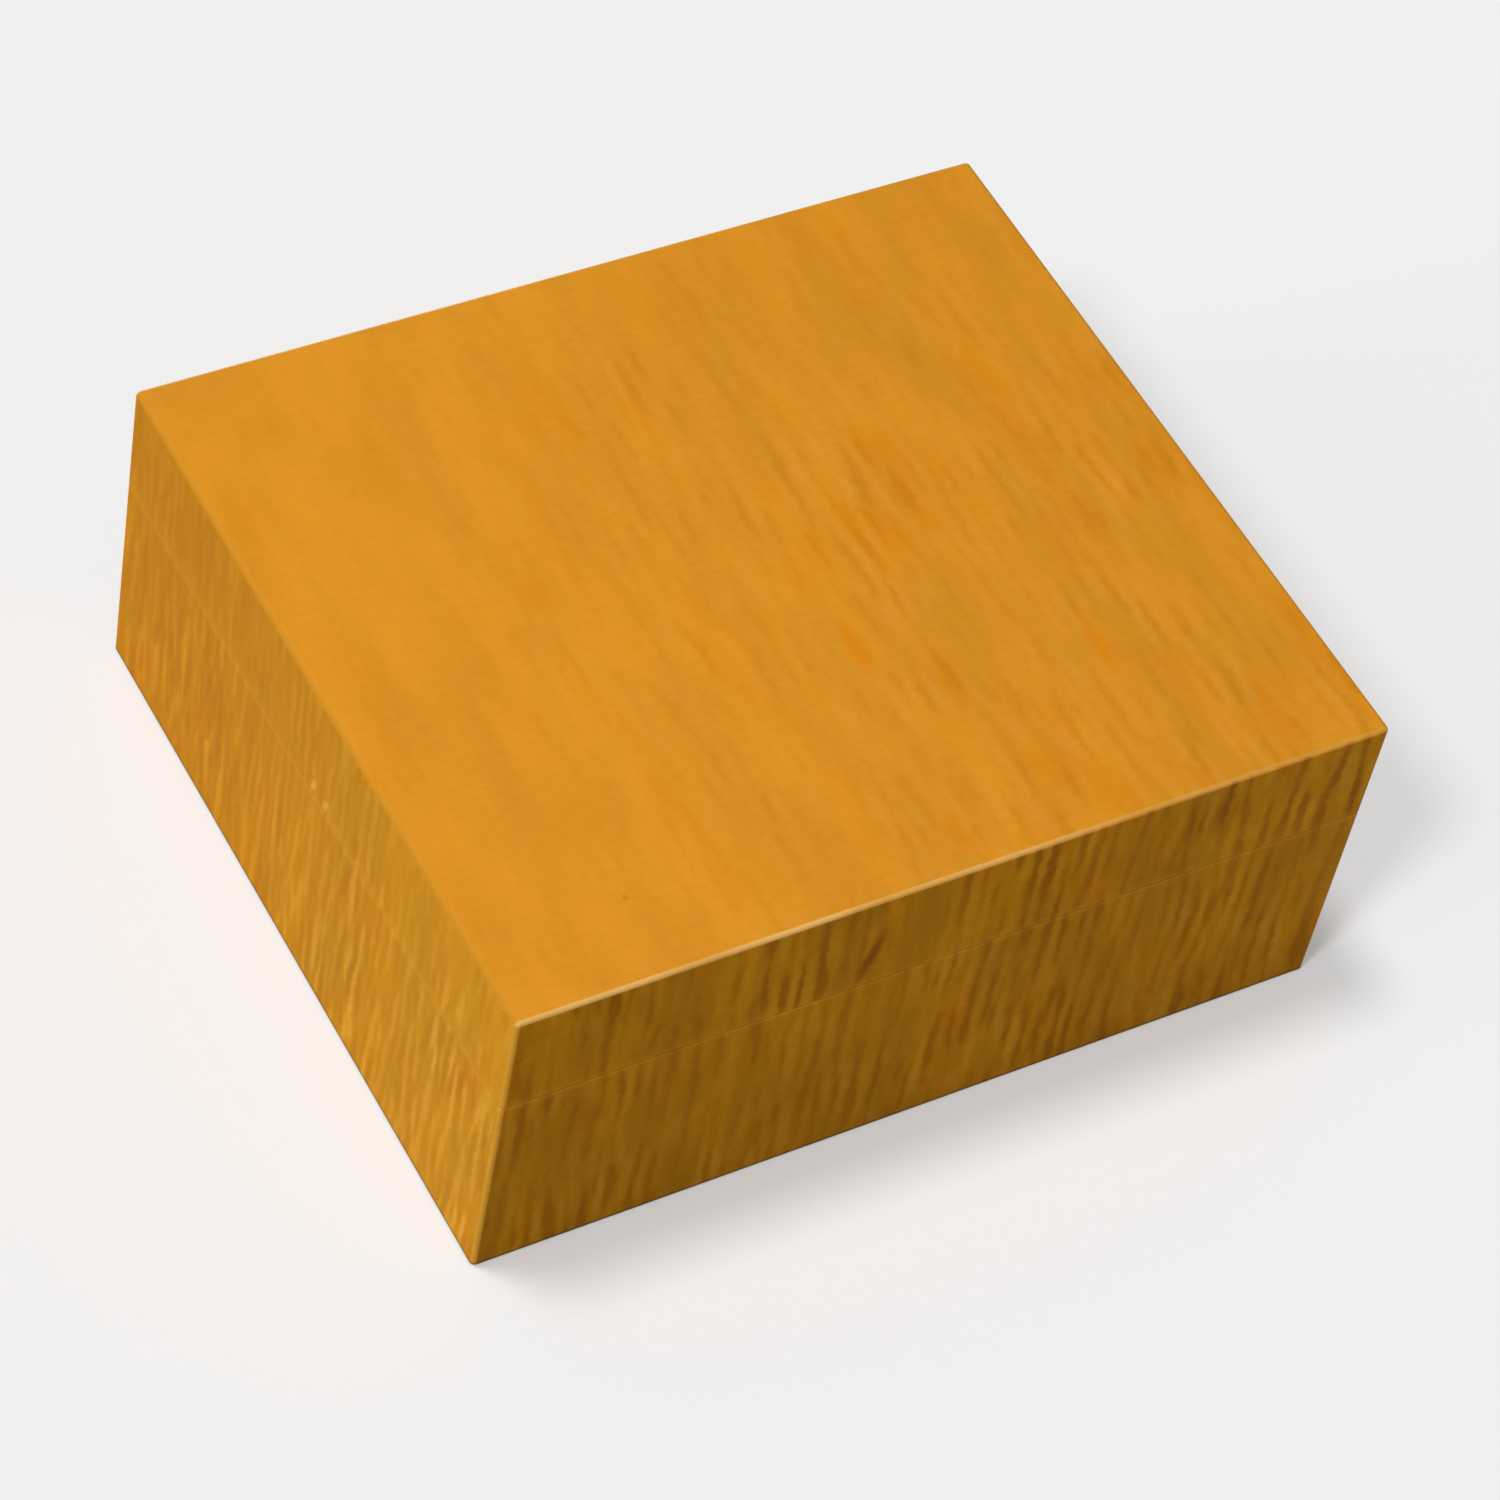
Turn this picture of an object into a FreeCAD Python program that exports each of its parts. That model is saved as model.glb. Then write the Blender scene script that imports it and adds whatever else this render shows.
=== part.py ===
import FreeCAD, Part
import math
import os

# Wooden puzzle box with a lift-off lid and a spin lock, in millimetres.
# The origin is the middle of the underside, +X along the long front, +Z up, the front at -Y.

# Outside
box_length = 160.0
box_width = 140.0
box_height = 64.5
lid_height = 21.7
wall = 9.0
arris_radius = 1.0
foot_radius = 0.6
base_seam_radius = 0.4
lid_seam_radius = 0.2
lid_mouth_chamfer = 0.5
seam_gap = 0.1

# Floor panel, a tongue all round it lying in a groove in the base walls
floor_thickness = 5.5
floor_recess = 1.0
tongue_thickness = 3.0
groove_depth = 4.0
tongue_end_play = 0.3
groove_play = 0.1

# Liner, whose upper part is the lip that the lid slips over
lid_play = 0.25
ceiling_gap = 0.8
lip_lead = 1.0
lip_ease = 0.6

# Splines hidden in the corner mitres
spline_thickness = 2.5
spline_width = 6.5
spline_inset = 8.0
spline_stop = 3.0
glue_gap = 0.05

# Spin lock: a headed pin in a blind chamber in each lid wall, kept in by a bush
chamber_skin = 1.6
bush_diameter = 7.0
bush_length = 2.2
bush_chamfer = 0.4
head_diameter = 6.2
head_length = 1.8
head_chamfer = 0.3
nose_diameter = 3.6
tip_diameter = 1.0
nose_play = 0.1
end_play = 0.1
tip_recess = 0.2
socket_size = 4.3
socket_end_gap = 1.65
socket_skin = 1.35

# Keeper blocks that hold the sockets, dovetailed into the lip so that a lifted lid can't draw them,
# each with a ramp that pushes its pin out as the lid is pressed down
keeper_foot_width = 16.0
keeper_top_width = 12.0
keeper_rise = 1.0
keeper_ramp = 2.2

# Heights that follow from the sizes above
base_height = box_height - lid_height - seam_gap
lid_bottom = base_height + seam_gap
ceiling = box_height - wall
floor_top = floor_recess + floor_thickness
groove_bottom = floor_top - tongue_thickness
lip_top = ceiling - ceiling_gap
pin_height = (lid_bottom + ceiling) / 2

# The pin travels as far as the lid wall leaves room for, and the liner is as thick as its nose needs
pin_stroke = wall - chamber_skin - bush_length - head_length - 2 * end_play
socket_depth = pin_stroke - tip_recess - lid_play + socket_end_gap
liner_thickness = lid_play + socket_depth + socket_skin

origin = FreeCAD.Vector(0, 0, 0)
up = FreeCAD.Vector(0, 0, 1)
inward = FreeCAD.Vector(0, 1, 0)


# The sides in turn, anticlockwise from above, each with the corner at its left-hand end
sides = ["front", "right", "back", "left"]
corners = ["front_left", "front_right", "back_right", "back_left"]
quarter_turn = 360.0 / len(sides)


def block(x_low, x_high, y_low, y_high, z_low, z_high):
    corner = FreeCAD.Vector(x_low, y_low, z_low)
    return Part.makeBox(x_high - x_low, y_high - y_low, z_high - z_low, corner)


def polygon_face(points):
    return Part.Face(Part.makePolygon(points + points[:1]))


def edges_at(shape, height):
    """The edges that lie level at a height."""
    level = 0.001
    return [e for e in shape.Edges if abs(e.BoundBox.ZMin - height) < level and e.BoundBox.ZLength < level]


def upright_edges(shape):
    return [e for e in shape.Edges if e.BoundBox.ZLength > arris_radius]


def eased_block(length, width, z_low, z_high, finer):
    """A block with rounded arrises: the finer ones go by their height, and the others are full size."""
    solid = block(-length / 2, length / 2, -width / 2, width / 2, z_low, z_high)
    full = upright_edges(solid)
    for height in (z_low, z_high):
        if height not in finer:
            full += edges_at(solid, height)
    solid = solid.makeFillet(arris_radius, full)
    for height, radius in finer.items():
        solid = solid.makeFillet(radius, edges_at(solid, height))
    return solid


def mitred_run(run, half, depth, z_low, z_high):
    """The wedge of one side: a board's depth in from its face, mitred at both ends."""
    reach = arris_radius
    points = [
        FreeCAD.Vector(-run / 2 - reach, -half - reach, z_low),
        FreeCAD.Vector(run / 2 + reach, -half - reach, z_low),
        FreeCAD.Vector(run / 2 - depth, -half + depth, z_low),
        FreeCAD.Vector(-run / 2 + depth, -half + depth, z_low),
    ]
    return polygon_face(points).extrude(up * (z_high - z_low))


def top_board_wedge(length, width):
    """The lid top's room: full size at the top, mitred in by a board's depth below."""
    reach = arris_radius

    def outline(spread, height):
        x = length / 2 + spread
        y = width / 2 + spread
        return Part.makePolygon([
            FreeCAD.Vector(-x, -y, height),
            FreeCAD.Vector(x, -y, height),
            FreeCAD.Vector(x, y, height),
            FreeCAD.Vector(-x, y, height),
            FreeCAD.Vector(-x, -y, height),
        ])

    return Part.makeLoft([outline(-wall, ceiling), outline(reach, box_height + reach)], True, True)


def spline(run, half, z_low, z_high, gap):
    """The spline across the mitre at a side's left-hand corner."""
    long_half = spline_width / 2 + gap
    thin_half = spline_thickness / 2 + gap
    strip = block(-thin_half, thin_half, -long_half, long_half, z_low - gap, z_high + gap)
    strip.rotate(origin, up, 45)
    step_in = spline_inset / math.sqrt(2)
    strip.translate(FreeCAD.Vector(-run / 2 + step_in, -half + step_in, 0))
    return strip


def spline_slots(run, half, z_low, z_high):
    left = spline(run, half, z_low, z_high, glue_gap)
    right = left.mirror(origin, FreeCAD.Vector(1, 0, 0))
    return [left, right]


base_spline_span = (floor_top + spline_stop, base_height - spline_stop)
lid_spline_span = (lid_bottom + spline_stop, ceiling)


def base_wall(run, half):
    solid = eased_block(run, 2 * half, 0, base_height, {0: foot_radius, base_height: base_seam_radius})
    solid = solid.common(mitred_run(run, half, wall, 0, base_height))
    inner_face = -half + wall
    groove = block(-run, run, inner_face - groove_depth, inner_face,
                   groove_bottom, floor_top + groove_play)
    return solid.cut([groove] + spline_slots(run, half, *base_spline_span))


def floor_panel():
    inner_x = box_length / 2 - wall
    inner_y = box_width / 2 - wall
    tongue = groove_depth - tongue_end_play
    body_x = inner_x - tongue_end_play
    body_y = inner_y - tongue_end_play
    body = block(-body_x, body_x, -body_y, body_y, floor_recess, floor_top)
    rim = block(-inner_x - tongue, inner_x + tongue, -inner_y - tongue, inner_y + tongue,
                groove_bottom, floor_top)
    return body.fuse(rim).removeSplitter()


def liner_blank(run, half):
    """A liner board: stepped in at the seam, with a lead and an eased edge on the lip."""
    outer_face = -half + wall
    lip_face = outer_face + lid_play
    inner_face = outer_face + liner_thickness
    profile = [
        (outer_face, floor_top),
        (outer_face, base_height),
        (lip_face, base_height),
        (lip_face, lip_top - lip_lead),
        (lip_face + lip_lead, lip_top),
        (inner_face - lip_ease, lip_top),
        (inner_face, lip_top - lip_ease),
        (inner_face, floor_top),
    ]
    face = polygon_face([FreeCAD.Vector(-run / 2, y, z) for y, z in profile])
    board = face.extrude(FreeCAD.Vector(run, 0, 0))
    return board.common(mitred_run(run, half, wall + liner_thickness, floor_top, lip_top))


def keeper_dovetail(half, gap):
    """The dovetail that a keeper fills, through the lip and up past its top."""
    foot = keeper_foot_width / 2 + gap
    head = keeper_top_width / 2 + gap
    outer_face = -half + wall
    bottom = base_height + keeper_rise - gap
    points = [
        FreeCAD.Vector(-foot, outer_face, bottom),
        FreeCAD.Vector(foot, outer_face, bottom),
        FreeCAD.Vector(head, outer_face, lip_top),
        FreeCAD.Vector(-head, outer_face, lip_top),
    ]
    return polygon_face(points).extrude(inward * liner_thickness)


def liner(run, half):
    return liner_blank(run, half).cut(keeper_dovetail(half, glue_gap))


def keeper(run, half):
    lip_face = -half + wall + lid_play
    socket = block(-socket_size / 2, socket_size / 2, lip_face, lip_face + socket_depth,
                   pin_height - socket_size / 2, pin_height + socket_size / 2)
    ramp_points = [
        FreeCAD.Vector(-run / 2, lip_face, lip_top - keeper_ramp),
        FreeCAD.Vector(-run / 2, lip_face + keeper_ramp, lip_top),
        FreeCAD.Vector(-run / 2, lip_face, lip_top),
    ]
    ramp = polygon_face(ramp_points).extrude(FreeCAD.Vector(run, 0, 0))
    return liner_blank(run, half).common(keeper_dovetail(half, 0)).cut([socket, ramp])


def lid_block(length, width):
    return eased_block(length, width, lid_bottom, box_height, {lid_bottom: lid_seam_radius})


def lid_top():
    return lid_block(box_length, box_width).common(top_board_wedge(box_length, box_width))


def pin_axis_point(half):
    """Where a pin's axis meets the lid wall's inner face."""
    return FreeCAD.Vector(0, -half + wall, pin_height)


def lid_wall(run, half):
    inner_face = -half + wall
    solid = lid_block(run, 2 * half).cut(top_board_wedge(run, 2 * half))
    solid = solid.common(mitred_run(run, half, wall, lid_bottom, box_height))
    chamfer_points = [
        FreeCAD.Vector(-run, inner_face, lid_bottom),
        FreeCAD.Vector(-run, inner_face - lid_mouth_chamfer, lid_bottom),
        FreeCAD.Vector(-run, inner_face, lid_bottom + lid_mouth_chamfer),
    ]
    mouth = polygon_face(chamfer_points).extrude(FreeCAD.Vector(2 * run, 0, 0))
    chamber = Part.makeCylinder(bush_diameter / 2 + glue_gap, wall - chamber_skin,
                                pin_axis_point(half), -inward)
    return solid.cut([mouth, chamber] + spline_slots(run, half, *lid_spline_span))


def turned(profile, half):
    """A body turned about a pin's axis, from points in radius and distance inward from the wall."""
    face = polygon_face([FreeCAD.Vector(radius, depth, 0) for radius, depth in profile])
    solid = face.revolve(origin, inward, 360)
    solid.translate(pin_axis_point(half))
    return solid


def pin_bush(half):
    bore = nose_diameter / 2 + nose_play
    rim = bush_diameter / 2
    profile = [
        (bore, -bush_length),
        (rim - bush_chamfer, -bush_length),
        (rim, -bush_length + bush_chamfer),
        (rim, 0),
        (bore + bush_chamfer, 0),
        (bore, -bush_chamfer),
    ]
    return turned(profile, half)


def lock_pin(half):
    """The pin as it lies released: its head at the chamber's end, its coned nose inside the bush."""
    nose = nose_diameter / 2
    tip = tip_diameter / 2
    head = head_diameter / 2
    head_back = -wall + chamber_skin + end_play
    head_front = head_back + head_length
    tip_depth = -tip_recess
    profile = [
        (0, tip_depth),
        (0, head_back),
        (head - head_chamfer, head_back),
        (head, head_back + head_chamfer),
        (head, head_front - head_chamfer),
        (head - head_chamfer, head_front),
        (nose, head_front),
        (nose, tip_depth - (nose - tip)),
        (tip, tip_depth),
    ]
    return turned(profile, half)


def save(name, shape, turn=0.0):
    placed = shape.copy()
    placed.rotate(origin, up, turn)
    placed.Solids[0].exportStep("parts/" + name + ".step")


os.makedirs("parts", exist_ok=True)
save("floor_panel", floor_panel())
save("lid_top", lid_top())
for number, side in enumerate(sides):
    turn = number * quarter_turn
    corner = corners[number]
    if side in ("front", "back"):
        run = box_length
        half = box_width / 2
    else:
        run = box_width
        half = box_length / 2
    save("base_" + side + "_wall", base_wall(run, half), turn)
    save("base_spline_" + corner, spline(run, half, *base_spline_span, 0), turn)
    save("liner_" + side, liner(run, half), turn)
    save("keeper_" + side, keeper(run, half), turn)
    save("lid_" + side + "_wall", lid_wall(run, half), turn)
    save("lid_spline_" + corner, spline(run, half, *lid_spline_span, 0), turn)
    save("pin_bush_" + side, pin_bush(half), turn)
    save("lock_pin_" + side, lock_pin(half), turn)

print("pin stroke", round(pin_stroke, 3), "liner", round(liner_thickness, 3))
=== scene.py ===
import bpy
import math
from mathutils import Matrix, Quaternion, Vector


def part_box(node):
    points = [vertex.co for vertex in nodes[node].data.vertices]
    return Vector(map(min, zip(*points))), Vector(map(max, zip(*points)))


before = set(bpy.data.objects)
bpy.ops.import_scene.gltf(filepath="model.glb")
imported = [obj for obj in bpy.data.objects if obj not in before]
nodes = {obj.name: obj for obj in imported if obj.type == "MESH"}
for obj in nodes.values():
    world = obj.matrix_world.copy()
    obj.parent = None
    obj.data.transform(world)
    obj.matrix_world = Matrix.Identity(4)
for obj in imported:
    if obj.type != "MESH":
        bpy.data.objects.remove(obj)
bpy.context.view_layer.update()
print("frame loaded:", len(nodes), "pieces of the box")


# small helpers for wiring shader nodes: they take sockets or plain values, and most give back a socket
def plug(tree, socket, value):
    if isinstance(value, bpy.types.NodeSocket):
        tree.links.new(value, socket)
    else:
        socket.default_value = value


def addNode(tree, kind, label, **options):
    node = tree.nodes.new("ShaderNode" + kind)
    node.label = label
    for option, value in options.items():
        setattr(node, option, value)
    return node


def maths(tree, label, operation, first, second=0.0):
    node = addNode(tree, "Math", label, operation=operation)
    plug(tree, node.inputs[0], first)
    plug(tree, node.inputs[1], second)
    return node.outputs["Value"]


def vectorMaths(tree, label, operation, first, second=(0, 0, 0), output="Vector"):
    node = addNode(tree, "VectorMath", label, operation=operation)
    plug(tree, node.inputs[0], first)
    plug(tree, node.inputs[1], second)
    return node.outputs[output]


def axisParts(tree, label, vector):
    node = addNode(tree, "SeparateXYZ", label)
    plug(tree, node.inputs["Vector"], vector)
    return node.outputs


def spread(tree, label, value, low, high, toLow=0.0, toHigh=1.0):
    node = addNode(tree, "MapRange", label, interpolation_type="SMOOTHSTEP")
    plug(tree, node.inputs["Value"], value)
    plug(tree, node.inputs["From Min"], low)
    plug(tree, node.inputs["From Max"], high)
    plug(tree, node.inputs["To Min"], toLow)
    plug(tree, node.inputs["To Max"], toHigh)
    return node.outputs["Result"]


def inRadians(angles):
    return [math.radians(angle) for angle in angles]


def patternSize(axis, onAxis, elsewhere):
    # one unit of a pattern has its own size on one axis
    size = [elsewhere] * 3
    size["xyz".index(axis)] = onAxis
    return size


def stretched(tree, label, place, size, turn=(0, 0, 0)):
    # one unit of the pattern is as large as size, in metres along x, y and z
    turned = addNode(tree, "Mapping", label + " lean")
    plug(tree, turned.inputs["Vector"], place)
    plug(tree, turned.inputs["Rotation"], turn)
    scaled = addNode(tree, "Mapping", label + " size")
    plug(tree, scaled.inputs["Vector"], turned.outputs["Vector"])
    plug(tree, scaled.inputs["Scale"], [1 / side for side in size])
    return scaled.outputs["Vector"]


def clouds(tree, label, place, scale=1.0, detail=2.0, roughness=0.5, output="Fac"):
    node = addNode(tree, "TexNoise", label)
    plug(tree, node.inputs["Vector"], place)
    plug(tree, node.inputs["Scale"], scale)
    plug(tree, node.inputs["Detail"], detail)
    plug(tree, node.inputs["Roughness"], roughness)
    return node.outputs[output]


def cloudsBothWays(tree, label, place):
    # three noises in one, each about zero
    noises = clouds(tree, label, place, detail=1.0, output="Color")
    return vectorMaths(tree, label + " both ways", "SUBTRACT", noises, (0.5, 0.5, 0.5))


def swaying(tree, label, place, over, width):
    # moves a place to and fro by about width, unevenly, once in each stretch of the given size
    sway = cloudsBothWays(tree, label, stretched(tree, label, place, over))
    sway = vectorMaths(tree, label + " width", "MULTIPLY", sway, (width,) * 3)
    return vectorMaths(tree, label + " place", "ADD", place, sway)


def blended(tree, label, share, first, second, how="MIX"):
    node = addNode(tree, "Mix", label, data_type="RGBA", blend_type=how)
    plug(tree, node.inputs["Factor"], share)
    plug(tree, node.inputs["A"], first)
    plug(tree, node.inputs["B"], second)
    return node.outputs["Result"]


def raised(tree, shader, label, height, strength, depth):
    bump = addNode(tree, "Bump", label)
    plug(tree, bump.inputs["Strength"], strength)
    plug(tree, bump.inputs["Distance"], depth)
    plug(tree, bump.inputs["Height"], height)
    plug(tree, shader.inputs["Normal"], bump.outputs["Normal"])


def newFinish(name, **fixedValues):
    finish = bpy.data.materials.new(name)
    finish.use_nodes = True
    shader = finish.node_tree.nodes["Principled BSDF"]
    for socket, value in fixedValues.items():
        shader.inputs[socket].default_value = value
    return finish, finish.node_tree, shader


# rippled honey wood of the outside: the ripples lie across the grain, so they stand upright on the walls.
# Limits are where a pattern or a height begins to count and where it counts in full
rippleWood = {
    "honey": (0.690, 0.278, 0.0180, 1),
    "amber": (0.420, 0.128, 0.0010, 1),      # dark side of a ripple
    "gold": (0.930, 0.450, 0.1400, 1),       # lit side of a ripple
    "russet": (0.690, 0.232, 0.0070, 1),     # warm clouds
    "wornAndHighlit": (0.880, 0.500, 0.1500, 1),       # rubbed arrises, also lightened as a painted highlight
    "burnishedAndHighlit": (0.900, 0.445, 0.0550, 1),  # corners and seam that hands polish, lightened further as a painted highlight
    "endArrisShade": (0.600, 0.250, 0.0190, 1),  # painted shade on the arrises over the ends, darker than the boards
    "lowerEdgeShade": (0.060, 0.034, 0.0120, 1),      # painted contact shade along the lower edge
    "gleam": (1.0, 0.60, 0.15, 1),           # oiled fibres tint what they mirror
    "gleamLevel": 0.03,
    "sawLoss": 0.006,                        # figure lost where the lid was sawn off the base
    "wander": 0.0007,
    "wanderOver": 0.020,
    "ragged": 0.0010,                        # teeth that the fibres make along a ripple
    "raggedAcross": 0.0035,
    "raggedAlong": 0.0022,
    "ripplesAbreast": 1.5,                   # ripples that run side by side before they break step
    "rippleContrast": 5.5,
    "streakLong": 0.011,                     # loose streaks among the ripples
    "streakFine": 0.0028,
    "streakDetail": 1.5,
    "streakContrast": 4.0,
    "patchSize": 0.025,                      # patches with more and with less figure
    "patchLimits": (0.38, 0.62),
    "warmLong": 0.025,
    "warmFine": 0.025 / 3,
    "warmLimits": (0.48, 0.72),
    "fibreLong": 0.03,
    "fibreFine": 0.0004,
    "fibreShade": 0.01,
    "mottleLong": 0.030,
    "mottleFine": 0.0090,
    "fleckLong": 0.0018,                     # open pores
    "fleckFine": 0.0010,
    "shadeLimits": (0.3, 0.7),
    "lowerEdgeShadeHeight": 0.0014,
    "tableLimits": (0.00002, 0.0002),        # the face that stands on the table gets no painted shade
    "glossLimits": (0.25, 0.75),
    "smoothest": 0.45,
    "roughest": 0.57,
    "polish": 0.12,                          # roughness that rubbed arrises lose
    "rippleHeight": 0.2,
    "fibreHeight": 0.3,
    "bump": 0.04,
    "bumpDepth": 0.0004,
}

# each board's own figure: the axis its ripples are set out along, how they lean, how far apart and long they
# are, the shares of dark and lit ripples and how softly they rise, the shares of warm clouds, mottling and
# pores, what is left of the figure in its plainest patches, where it fades, and how the board's tint drifts,
# which on the top is painted light
boards = {
    "top": {
        "across": "x", "lean": (0, 0, 1), "apart": 0.0041, "long": 0.015,
        "dark": 0.25, "lit": 0.09, "soft": 1.6, "warm": 0.7, "mottle": 0.050, "fleck": 0.022,
        "plainest": 0.45, "fade": [("X", -0.06, 0.01, 0.25), ("Y", 0.07, 0.0, 0.35)],
        # painted light: the top is lighter towards the left end and darker towards the right
        "tintAndLightDrift": ("X", -0.08, 0.08, (1.02, 1.02, 1.10, 1), (0.92, 0.92, 0.92, 1)),
    },
    "longWall": {
        "across": "x", "lean": (0, 2, 0), "apart": 0.0038, "long": 0.022,
        "dark": 0.74, "lit": 0.38, "soft": 1.10, "warm": 0.8, "mottle": 0.110, "fleck": 0.035,
        "plainest": 0.5, "fade": [("X", -0.05, 0.01, 0.9), ("Z", 0.03, 0.05, 0.8)],
        "tintAndLightDrift": ("Z", 0.0, 0.06, (0.955, 0.975, 0.28, 1), (0.99, 0.985, 0.17, 1)),
    },
    "endWall": {
        "across": "y", "lean": (-1, 0, 0), "apart": 0.0035, "long": 0.016,
        "dark": 0.40, "lit": 0.65, "soft": 1.10, "warm": 1.0, "mottle": 0.050, "fleck": 0.030,
        "plainest": 0.45, "fade": [("Y", 0.06, -0.05, 0.6), ("Z", 0.055, 0.020, 0.42)],
        "tintAndLightDrift": ("Y", 0.07, -0.07, (1.01, 0.97, 0.14, 1), (1.09, 1.165, 0.46, 1)),
    },
}


def rippleWaves(tree, board, frayed):
    # short runs of upright waves: two waves a quarter apart, each with its own uneven strength
    across, lean = board["across"], inRadians(board["lean"])
    laid = stretched(tree, "ripple", frayed, patternSize(across, board["apart"], board["long"]), lean)
    angle = axisParts(tree, "across the ripples", laid)[across.upper()]
    angle = maths(tree, "ripple angle", "MULTIPLY", angle, 2 * math.pi)
    twoWaves = addNode(tree, "CombineXYZ", "two waves")
    plug(tree, twoWaves.inputs["X"], maths(tree, "first wave", "SINE", angle))
    plug(tree, twoWaves.inputs["Y"], maths(tree, "second wave", "COSINE", angle))
    runSize = patternSize(across, rippleWood["ripplesAbreast"], 1.0)
    runs = cloudsBothWays(tree, "runs", stretched(tree, "run", laid, runSize))
    waves = vectorMaths(tree, "waves by runs", "DOT_PRODUCT", twoWaves.outputs["Vector"], runs, "Value")
    waves = maths(tree, "ripples", "MULTIPLY", waves, rippleWood["rippleContrast"])

    # loose streaks among them
    streakSize = patternSize(across, rippleWood["streakFine"], rippleWood["streakLong"])
    streaks = clouds(tree, "streaks", stretched(tree, "streak", frayed, streakSize, lean),
                     detail=rippleWood["streakDetail"])
    streaks = maths(tree, "streaks both ways", "SUBTRACT", streaks, 0.5)
    streaks = maths(tree, "streak strength", "MULTIPLY", streaks, rippleWood["streakContrast"])
    return maths(tree, "ripples and streaks", "ADD", waves, streaks)


def figureStrength(tree, board, figured, parts):
    # the figure comes and goes, and fades towards an end of the board
    strength = clouds(tree, "figure patches", figured, 1 / rippleWood["patchSize"], detail=1.0)
    strength = spread(tree, "patch contrast", strength, *rippleWood["patchLimits"], board["plainest"], 1.0)
    for axis, fadedAt, fullAt, leftOver in board["fade"]:
        fade = spread(tree, "fade along " + axis, parts[axis], fadedAt, fullAt, leftOver, 1.0)
        strength = maths(tree, "figure strength", "MULTIPLY", strength, fade)
    return strength


def figureColour(tree, board, swayed, ripple, strength):
    # honey ground with warm clouds, and the dark and the lit sides of the ripples
    def whereFigured(label, share):
        return maths(tree, label, "MULTIPLY", share, strength)

    warmSize = patternSize(board["across"], rippleWood["warmFine"], rippleWood["warmLong"])
    warm = clouds(tree, "warm clouds", stretched(tree, "warm", swayed, warmSize))
    warm = spread(tree, "warm share", warm, *rippleWood["warmLimits"], 0.0, board["warm"])
    darkSide = spread(tree, "dark side", ripple, 0.0, -board["soft"], 0.0, board["dark"])
    litSide = spread(tree, "lit side", ripple, 0.0, board["soft"], 0.0, board["lit"])
    colour = blended(tree, "warm ground", whereFigured("warm where figured", warm),
                     rippleWood["honey"], rippleWood["russet"])
    colour = blended(tree, "dark ripples", whereFigured("dark figure", darkSide), colour, rippleWood["amber"])
    return blended(tree, "lit ripples", whereFigured("lit figure", litSide), colour, rippleWood["gold"])


# single marks that stand out in the figure: the middle and the half sizes of each, its colour and its board
marks = {
    "boldRipple": {"at": (-0.0152, -0.070, 0.0505), "size": (0.0019, 0.003, 0.0100), "lean": (0, 13, 0),
                   "colour": "amber", "share": 1.0, "on": "longWall"},
    "darkFleck": {"at": (-0.0533, -0.0543, 0.0645), "size": (0.0007, 0.0010, 0.002), "lean": (0, 0, 0),
                  "colour": "amber", "share": 0.4, "on": "top"},
    "warmSpotMiddle": {"at": (0.0054, -0.0228, 0.0645), "size": (0.0028, 0.0085, 0.004), "lean": (0, 0, 0),
                       "colour": "russet", "share": 0.9, "on": "top"},
    "warmSpotRight": {"at": (0.0438, -0.0367, 0.0645), "size": (0.0026, 0.0080, 0.004), "lean": (0, 0, 0),
                      "colour": "russet", "share": 0.8, "on": "top"},
    "warmSpotLeft": {"at": (-0.0384, 0.0060, 0.0645), "size": (0.0036, 0.0050, 0.004), "lean": (0, 0, 0),
                     "colour": "russet", "share": 0.45, "on": "top"},
    "lightFleckBack": {"at": (-0.080, -0.0026, 0.0447), "size": (0.002, 0.0010, 0.0026), "lean": (20, 0, 0),
                       "colour": "gold", "share": 0.8, "on": "endWall"},
    "lightFleckFront": {"at": (-0.080, -0.0070, 0.0446), "size": (0.002, 0.0012, 0.0024), "lean": (20, 0, 0),
                        "colour": "gold", "share": 0.8, "on": "endWall"},
}
markLimits = (1.0, 0.2)                      # a mark fades in over this part of its half size


def marked(tree, boardName, place, colour):
    # each mark is an ellipsoid about a place on one face, so it shows on that face alone
    for label, mark in marks.items():
        if mark["on"] == boardName:
            centred = addNode(tree, "Mapping", label + " place", vector_type="TEXTURE")
            plug(tree, centred.inputs["Vector"], place)
            plug(tree, centred.inputs["Location"], mark["at"])
            plug(tree, centred.inputs["Rotation"], inRadians(mark["lean"]))
            plug(tree, centred.inputs["Scale"], mark["size"])
            reach = vectorMaths(tree, label + " reach", "LENGTH", centred.outputs["Vector"], output="Value")
            share = spread(tree, label, reach, *markLimits, 0.0, mark["share"])
            colour = blended(tree, label, share, colour, rippleWood[mark["colour"]])
    return colour


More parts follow.
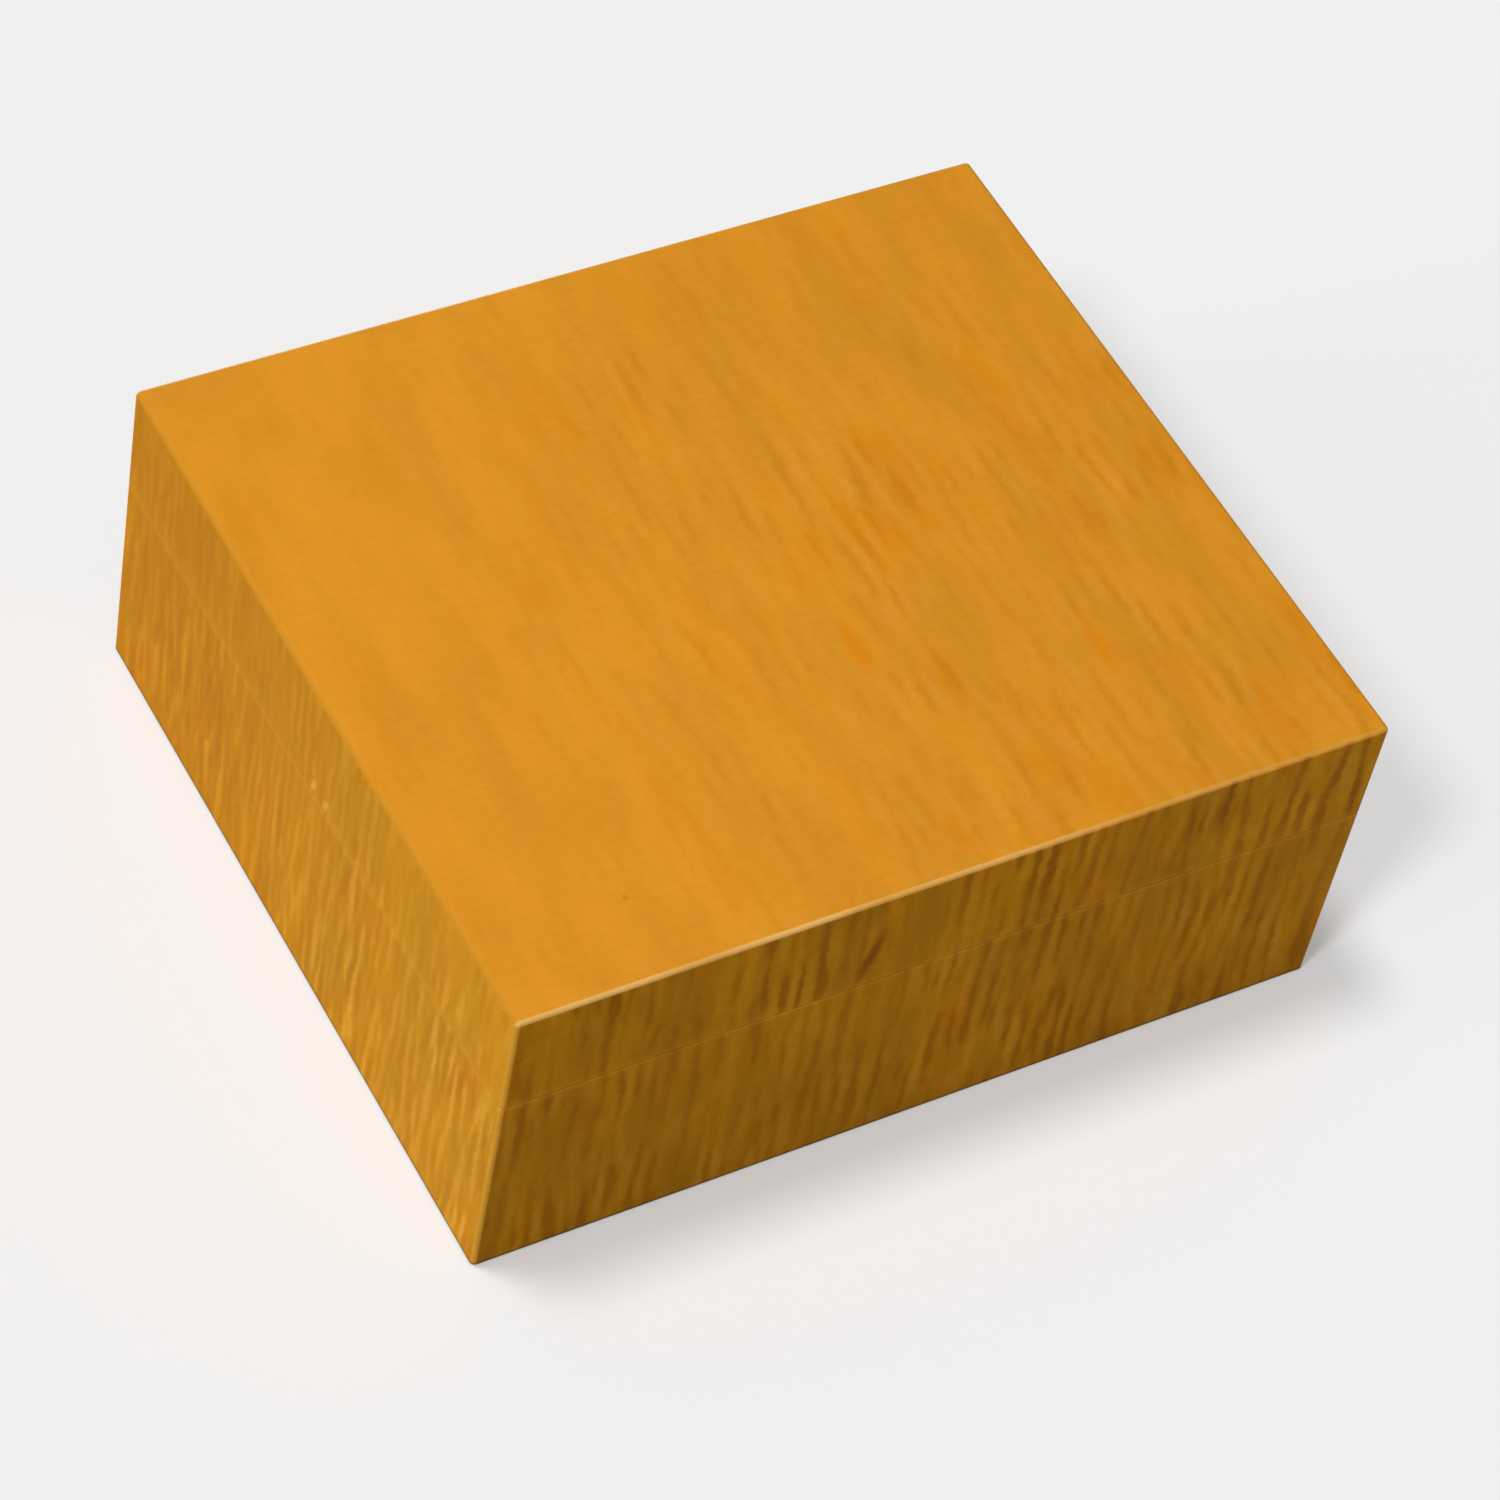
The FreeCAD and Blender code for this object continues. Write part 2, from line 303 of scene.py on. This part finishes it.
def shadedAndTinted(tree, board, swayed, frayed, fibre, parts, colour):
    # fibres, mottling and pores shade the board, and its tint drifts from one end to the other; on the top
    # this drift is painted light
    across = board["across"]
    mottleSize = patternSize(across, rippleWood["mottleFine"], rippleWood["mottleLong"])
    mottle = clouds(tree, "mottle", stretched(tree, "mottle", frayed, mottleSize, inRadians(board["lean"])),
                    detail=3.0)
    fleckSize = patternSize(across, rippleWood["fleckLong"], rippleWood["fleckFine"])
    flecks = clouds(tree, "flecks", stretched(tree, "fleck", swayed, fleckSize), roughness=0.6)
    shade = 1.0
    for label, pattern, strength in (("fibre", fibre, rippleWood["fibreShade"]),
                                     ("mottle", mottle, board["mottle"]),
                                     ("fleck", flecks, board["fleck"])):
        lightAndDark = spread(tree, label + " shade", pattern, *rippleWood["shadeLimits"],
                              1 - strength, 1 + strength)
        shade = maths(tree, "with " + label + " shade", "MULTIPLY", shade, lightAndDark)
    colour = blended(tree, "shaded", 1.0, colour, shade, "MULTIPLY")
    axis, firstEnd, otherEnd, firstTint, otherTint = board["tintAndLightDrift"]
    tintAndLightDrift = spread(tree, "drift of tone", parts[axis], firstEnd, otherEnd)
    tint = blended(tree, "board tint and painted light", tintAndLightDrift, firstTint, otherTint)
    return blended(tree, "tinted", 1.0, colour, tint, "MULTIPLY")


# arris wear and painted arris light go by the way an arris faces, which is the product of two parts of its
# normal, and by the seam
arrisLightAndWear = {
    "sideLimits": (0.15, 0.42),
    "rightLimits": (-0.04, 0.07),            # wear and painted highlight on side arrises fade towards the right
    "rightShare": 0.25,
    "cornerLimits": (0.05, 0.4),
    "cornerShare": 0.7,
    "endLimits": (0.1, 0.4),
    "seamLimits": (0.0005, 0.002),           # heights off the seam, up to which its arrises are spared
    "endShadeBySeam": 0.6,
    "seamHighlightLimits": (0.0020, 0.0001),
    "seamHighlightShare": 0.19,
    "rubbingSize": 0.025,
    "rubbingLimits": (0.3, 0.6),
    "rubbingLeast": 0.6,
}


def paintedArrisLightAndWear(tree, coords, parts):
    # arrises along the sides are rubbed pale and carry a painted highlight, upright corners are polished and
    # carry a painted highlight, and arrises over the ends get painted shade; the seam has a faint painted
    # highlight instead
    facing = vectorMaths(tree, "facing", "ABSOLUTE", coords.outputs["Normal"])
    facing = axisParts(tree, "facing parts", facing)
    sideArris = maths(tree, "front and up", "MULTIPLY", facing["Y"], facing["Z"])
    cornerArris = maths(tree, "end and front", "MULTIPLY", facing["X"], facing["Y"])
    endArris = maths(tree, "end and up", "MULTIPLY", facing["X"], facing["Z"])
    offSeam = maths(tree, "above the seam", "SUBTRACT", parts["Z"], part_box("lid_front_wall")[0].z)
    offSeam = maths(tree, "off the seam", "ABSOLUTE", offSeam)
    rubbing = clouds(tree, "rubbing", coords.outputs["Object"], 1 / arrisLightAndWear["rubbingSize"])
    broken = spread(tree, "uneven rubbing", rubbing, *arrisLightAndWear["rubbingLimits"], arrisLightAndWear["rubbingLeast"], 1.0)

    # side arrises: wear and a painted highlight, fading towards the right and spared by the seam
    wornAndHighlit = spread(tree, "side arris", sideArris, *arrisLightAndWear["sideLimits"])
    toRight = spread(tree, "to the right", parts["X"], *arrisLightAndWear["rightLimits"], 1.0, arrisLightAndWear["rightShare"])
    spared = spread(tree, "near the seam", offSeam, *arrisLightAndWear["seamLimits"])
    for label, share in (("less to the right", toRight), ("seam spared", spared), ("broken wear", broken)):
        wornAndHighlit = maths(tree, label, "MULTIPLY", wornAndHighlit, share)
    # upright corners: polish and a painted highlight
    corner = spread(tree, "corner arris", cornerArris, *arrisLightAndWear["cornerLimits"], 0.0, arrisLightAndWear["cornerShare"])
    # painted shade: arrises over the ends are darkened against the light that falls on them, less so by the
    # seam
    dulled = spread(tree, "end arris", endArris, *arrisLightAndWear["endLimits"])
    dulled = maths(tree, "less end shade by seam", "MULTIPLY", dulled,
                   spread(tree, "end seam", offSeam, *arrisLightAndWear["seamLimits"], arrisLightAndWear["endShadeBySeam"], 1.0))
    # painted highlight: a faint pale band along the seam
    seam = spread(tree, "by the seam", offSeam, *arrisLightAndWear["seamHighlightLimits"], 0.0, arrisLightAndWear["seamHighlightShare"])
    seam = maths(tree, "broken seam", "MULTIPLY", seam, broken)
    return wornAndHighlit, corner, dulled, seam


def rippledFinish(boardName, onLid):
    board = boards[boardName]
    finish, tree, shader = newFinish("rippledWood." + boardName + (".lid" if onLid else ".base"), **{
        "Specular IOR Level": rippleWood["gleamLevel"], "Specular Tint": rippleWood["gleam"]})
    coords = addNode(tree, "TexCoord", "box coordinates")
    place = coords.outputs["Object"]
    parts = axisParts(tree, "place parts", place)
    across = board["across"]

    # ripples wander as they run, the fibres fray them, and they jump at the saw cut between lid and base
    jump = (0, 0, rippleWood["sawLoss"] if onLid else 0)
    figured = vectorMaths(tree, "past the saw cut", "ADD", place, jump)
    swayed = swaying(tree, "wander", figured, (rippleWood["wanderOver"],) * 3, rippleWood["wander"])
    fraySize = patternSize(across, rippleWood["raggedAcross"], rippleWood["raggedAlong"])
    frayed = swaying(tree, "fray", swayed, fraySize, rippleWood["ragged"])
    ripple = rippleWaves(tree, board, frayed)
    strength = figureStrength(tree, board, figured, parts)
    fibreSize = patternSize(across, rippleWood["fibreLong"], rippleWood["fibreFine"])
    fibre = clouds(tree, "fibres", stretched(tree, "fibre", swayed, fibreSize))

    colour = figureColour(tree, board, swayed, ripple, strength)
    frayedRims = swaying(tree, "frayed rims", place, fraySize, rippleWood["ragged"])
    colour = marked(tree, boardName, frayedRims, colour)
    colour = shadedAndTinted(tree, board, swayed, frayed, fibre, parts, colour)
    wornAndHighlit, corner, dulled, seam = paintedArrisLightAndWear(tree, coords, parts)
    # painted shade: the lower edge of the walls is darkened where they meet the table
    lowerEdgeShade = spread(tree, "lower edge", parts["Z"], rippleWood["lowerEdgeShadeHeight"], 0.0)
    lowerEdgeShade = maths(tree, "unshaded underneath", "MULTIPLY", lowerEdgeShade,
                  spread(tree, "off the table", parts["Z"], *rippleWood["tableLimits"]))
    for label, share, shade in (("painted highlight on seam", seam, "burnishedAndHighlit"),
                                ("painted shade on end arrises", dulled, "endArrisShade"),
                                ("polished and highlit corners", corner, "burnishedAndHighlit"),
                                ("rubbed and highlit arrises", wornAndHighlit, "wornAndHighlit"),
                                ("painted shade on lower edge", lowerEdgeShade, "lowerEdgeShade")):
        colour = blended(tree, label, share, colour, rippleWood[shade])
    plug(tree, shader.inputs["Base Color"], colour)

    # satin oil: fibres break up the gloss, rubbed arrises shine a little more
    gloss = spread(tree, "gloss", fibre, *rippleWood["glossLimits"],
                   rippleWood["smoothest"], rippleWood["roughest"])
    polish = maths(tree, "polish", "MULTIPLY", wornAndHighlit, rippleWood["polish"])
    plug(tree, shader.inputs["Roughness"], maths(tree, "gloss and polish", "SUBTRACT", gloss, polish))
    shownRipples = maths(tree, "shown ripples", "MULTIPLY", ripple, strength)
    height = maths(tree, "surface", "ADD",
                   maths(tree, "fibre height", "MULTIPLY", fibre, rippleWood["fibreHeight"]),
                   maths(tree, "ripple height", "MULTIPLY", shownRipples, rippleWood["rippleHeight"]))
    raised(tree, shader, "ripples and fibres", height, rippleWood["bump"], rippleWood["bumpDepth"])
    return finish


# straight-grained lining boards and floor, waxed
liningWood = {
    "pale": (0.66, 0.40, 0.150, 1),
    "late": (0.52, 0.27, 0.080, 1),          # darker late wood of each ring
    "gleamLevel": 0.3,
    "ringApart": 0.0045,
    "ringLong": 0.16,
    "lateLimits": (0.42, 0.66),
    "lateShare": 0.85,
    "poreFine": 0.0003,
    "poreLong": 0.012,
    "poreLimits": (0.62, 0.72),
    "poreShare": 0.35,
    "waxLimits": (0.3, 0.7),
    "smoothest": 0.46,
    "roughest": 0.58,
    "bump": 0.12,
    "bumpDepth": 0.00025,
}


def liningFinish(along):
    finish, tree, shader = newFinish("liningWood.along" + along.upper(), **{
        "Specular IOR Level": liningWood["gleamLevel"]})
    place = addNode(tree, "TexCoord", "box coordinates").outputs["Object"]
    ringSize = patternSize(along, liningWood["ringLong"], liningWood["ringApart"])
    rings = clouds(tree, "rings", stretched(tree, "ring", place, ringSize), detail=3.0, roughness=0.6)
    lateWood = spread(tree, "late wood", rings, *liningWood["lateLimits"], 0.0, liningWood["lateShare"])
    colour = blended(tree, "rings of colour", lateWood, liningWood["pale"], liningWood["late"])
    poreSize = patternSize(along, liningWood["poreLong"], liningWood["poreFine"])
    pores = clouds(tree, "pores", stretched(tree, "pore", place, poreSize), detail=1.0)
    openPores = spread(tree, "open pores", pores, *liningWood["poreLimits"], 0.0, liningWood["poreShare"])
    colour = blended(tree, "pores", openPores, colour, liningWood["late"])
    plug(tree, shader.inputs["Base Color"], colour)
    wax = spread(tree, "wax", rings, *liningWood["waxLimits"],
                 liningWood["smoothest"], liningWood["roughest"])
    plug(tree, shader.inputs["Roughness"], wax)
    raised(tree, shader, "open grain", pores, liningWood["bump"], liningWood["bumpDepth"])
    return finish


# dark sawn splines in the mitres
splineWood = {
    "brown": (0.150, 0.070, 0.030, 1),
    "dark": (0.085, 0.036, 0.016, 1),
    "gleamLevel": 0.3,
    "grainFine": 0.0008,
    "grainLong": 0.02,
    "sawLimits": (0.3, 0.7),
    "smoothest": 0.55,
    "roughest": 0.70,
}


def splineFinish():
    finish, tree, shader = newFinish("splineWood", **{"Specular IOR Level": splineWood["gleamLevel"]})
    place = addNode(tree, "TexCoord", "box coordinates").outputs["Object"]
    grainSize = patternSize("z", splineWood["grainLong"], splineWood["grainFine"])
    grain = clouds(tree, "grain", stretched(tree, "grain", place, grainSize), detail=3.0)
    plug(tree, shader.inputs["Base Color"],
         blended(tree, "grain colour", grain, splineWood["brown"], splineWood["dark"]))
    sawn = spread(tree, "saw marks", grain, *splineWood["sawLimits"],
                  splineWood["smoothest"], splineWood["roughest"])
    plug(tree, shader.inputs["Roughness"], sawn)
    return finish


# lock metals: brass keepers and bushes, steel pins
lockMetals = {
    "brass": {"clean": (0.80, 0.58, 0.24, 1), "dulled": (0.52, 0.35, 0.13, 1),
              "smoothest": 0.22, "roughest": 0.40},
    "steel": {"clean": (0.62, 0.62, 0.61, 1), "dulled": (0.40, 0.39, 0.38, 1),
              "smoothest": 0.18, "roughest": 0.36},
}
metalWear = {
    "tarnishSize": 0.004,
    "tarnishLimits": (0.4, 0.7),
    "tarnishShare": 0.8,
    "tarnishRoughens": 0.15,
    "toolMarkFine": 0.00012,
    "toolMarkLong": 0.006,
    "toolMarkLimits": (0.3, 0.7),
    "bump": 0.1,
}


def metalFinish(metalName):
    metal = lockMetals[metalName]
    finish, tree, shader = newFinish("lock" + metalName.capitalize(), Metallic=1.0)
    place = addNode(tree, "TexCoord", "box coordinates").outputs["Object"]
    tarnish = clouds(tree, "tarnish", place, 1 / metalWear["tarnishSize"], detail=4.0, roughness=0.6)
    dulled = spread(tree, "dulled", tarnish, *metalWear["tarnishLimits"], 0.0, metalWear["tarnishShare"])
    plug(tree, shader.inputs["Base Color"],
         blended(tree, "tarnished", dulled, metal["clean"], metal["dulled"]))
    markSize = patternSize("z", metalWear["toolMarkFine"], metalWear["toolMarkLong"])
    toolMarks = clouds(tree, "tool marks", stretched(tree, "tool mark", place, markSize))
    rough = spread(tree, "rubbed and dull", toolMarks, *metalWear["toolMarkLimits"],
                   metal["smoothest"], metal["roughest"])
    rough = maths(tree, "tarnish roughens", "ADD", rough,
                  maths(tree, "tarnish share", "MULTIPLY", dulled, metalWear["tarnishRoughens"]))
    plug(tree, shader.inputs["Roughness"], rough)
    raised(tree, shader, "tool marks", toolMarks, metalWear["bump"], metalWear["toolMarkFine"])
    return finish


# finish of each piece, by its name
topFinish = rippledFinish("top", True)
wallFinishes = {(board, onLid): rippledFinish(board, onLid)
                for board in ("longWall", "endWall") for onLid in (True, False)}
liningAlongX = liningFinish("x")
liningAlongY = liningFinish("y")
darkSpline = splineFinish()
lockBrass = metalFinish("brass")
lockSteel = metalFinish("steel")


def finishFor(name):
    onLongSide = "front" in name or "back" in name
    if "spline" in name:
        return darkSpline
    if name.startswith("lock_pin"):
        return lockSteel
    if name.startswith("pin_bush") or name.startswith("keeper"):
        return lockBrass
    if name == "floor_panel":
        return liningAlongX
    if name.startswith("liner"):
        return liningAlongX if onLongSide else liningAlongY
    if name == "lid_top":
        return topFinish
    return wallFinishes["longWall" if onLongSide else "endWall", name.startswith("lid")]


for name, piece in nodes.items():
    for slot in piece.material_slots:
        slot.material = finishFor(name)
print("finishes laid on:", len(nodes), "pieces")


# pale floor, with the same tone behind it; both throw back less light than they show
studio = {
    "floorSide": 8.0,
    "floorRoughness": 0.9,
    "paleTone": 0.871,
    "bounceTone": 0.30,
    "glowShare": 0.32,                       # share of the floor's tone that shadows leave alone
    "fillStrength": 0.205,
}


def grey(tone):
    return (tone, tone, tone, 1)


def seenDirectly(tree):
    rays = addNode(tree, "LightPath", "kind of ray").outputs
    seen = maths(tree, "camera or gloss", "MAXIMUM", rays["Is Camera Ray"], rays["Is Glossy Ray"])
    return maths(tree, "or glass", "MAXIMUM", seen, rays["Is Transmission Ray"])


bpy.ops.mesh.primitive_plane_add(size=studio["floorSide"], location=(0, 0, 0))
floor = bpy.context.object
floor.name = "studioFloor"
floorFinish, floorTree, floorShader = newFinish("paleFloor", **{
    "Roughness": studio["floorRoughness"], "Specular IOR Level": 0.0,
    "Emission Color": grey(studio["paleTone"])})
floorSeen = seenDirectly(floorTree)
litTone = grey(studio["paleTone"] * (1 - studio["glowShare"]))
plug(floorTree, floorShader.inputs["Base Color"],
     blended(floorTree, "seen or bounced", floorSeen, grey(studio["bounceTone"]), litTone))
plug(floorTree, floorShader.inputs["Emission Strength"],
     maths(floorTree, "glow where seen", "MULTIPLY", floorSeen, studio["glowShare"]))
floor.data.materials.append(floorFinish)

world = bpy.data.worlds.new("studioRoom")
world.use_nodes = True
bpy.context.scene.world = world
worldTree = world.node_tree
room = worldTree.nodes["Background"]
plug(worldTree, room.inputs["Strength"], 1.0)
plug(worldTree, room.inputs["Color"],
     blended(worldTree, "seen or fill", seenDirectly(worldTree),
             grey(studio["fillStrength"]), grey(studio["paleTone"])))
print("floor and room set")


# a low lamp on the left and two above: one throws its shadow past the right end, the other past the front
lamps = {
    "lowLamp": {"towards": (-1.0, 0.05, 0.25), "strength": 0.582, "softAngle": 20},
    "leftLamp": {"towards": (-0.73, -0.292, 1.0), "strength": 1.20, "softAngle": 10.5},
    "backLamp": {"towards": (-0.177, 0.167, 1.0), "strength": 1.48, "softAngle": 12},
}
for name, lamp in lamps.items():
    bpy.ops.object.light_add(type="SUN", location=lamp["towards"])
    light = bpy.context.object
    light.name = name
    light.data.energy = lamp["strength"]
    light.data.angle = math.radians(lamp["softAngle"])
    light.rotation_euler = Vector(lamp["towards"]).to_track_quat("Z", "Y").to_euler()
print("lamps set:", len(lamps))


# camera as the photograph was taken: from the front left, above, and a little rolled
photoView = {
    "aim": (-0.00041, -0.0091, 0.02588),
    "distance": 0.8824,
    "azimuth": -38.073,
    "elevation": 49.209,
    "roll": 12.778,
    "lens": 126.197,
    "sensor": 36.0,
}
azimuth = math.radians(photoView["azimuth"])
elevation = math.radians(photoView["elevation"])
backwards = Vector((math.sin(azimuth) * math.cos(elevation),
                    -math.cos(azimuth) * math.cos(elevation),
                    math.sin(elevation)))
bpy.ops.object.camera_add(location=Vector(photoView["aim"]) + backwards * photoView["distance"])
camera = bpy.context.object
camera.name = "photoCamera"
camera.data.lens = photoView["lens"]
camera.data.sensor_width = photoView["sensor"]
level = (-backwards).to_track_quat("-Z", "Y")
rolled = level @ Quaternion((0, 0, 1), math.radians(photoView["roll"]))
camera.rotation_euler = rolled.to_euler()
bpy.context.scene.camera = camera
bpy.context.scene.view_settings.view_transform = "Standard"
print("camera set")
